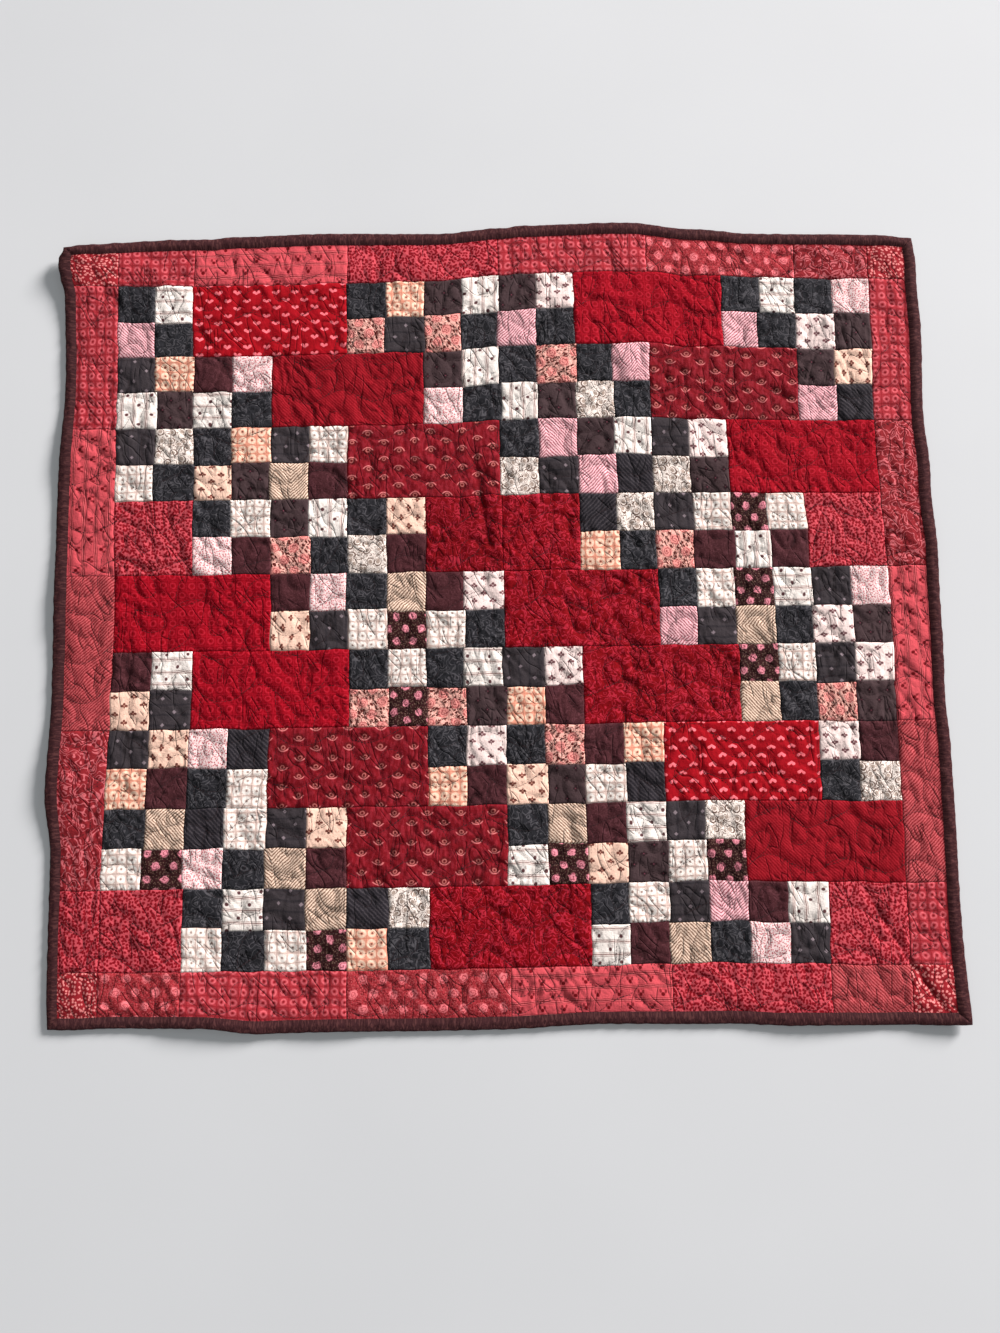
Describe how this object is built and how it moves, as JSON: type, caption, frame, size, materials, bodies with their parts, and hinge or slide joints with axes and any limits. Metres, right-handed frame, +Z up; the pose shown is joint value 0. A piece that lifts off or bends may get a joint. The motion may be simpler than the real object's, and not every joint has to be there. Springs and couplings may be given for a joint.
{
  "type": "quilt, pieced and bound, lying face up",
  "caption": "Pieced scrap quilt with small light and dark squares between plain red rectangles, a coral border and a dark binding, lying face up.",
  "frame": {"origin": "under the middle of the quilt, on the surface it lies on", "axes": "+X across the width towards the picture's right, +Y towards the picture's top edge, +Z up out of the pieced face"},
  "size_m": [0.876, 0.8064, 0.013],
  "materials": {
    "pieced_cotton": "matte",
    "binding_cotton": "matte"
  },
  "bodies": {
    "root": {"quilt_body": "pieced_cotton", "binding_top": "binding_cotton", "binding_right": "binding_cotton", "binding_bottom": "binding_cotton", "binding_left": "binding_cotton"}
  },
  "joints": []
}
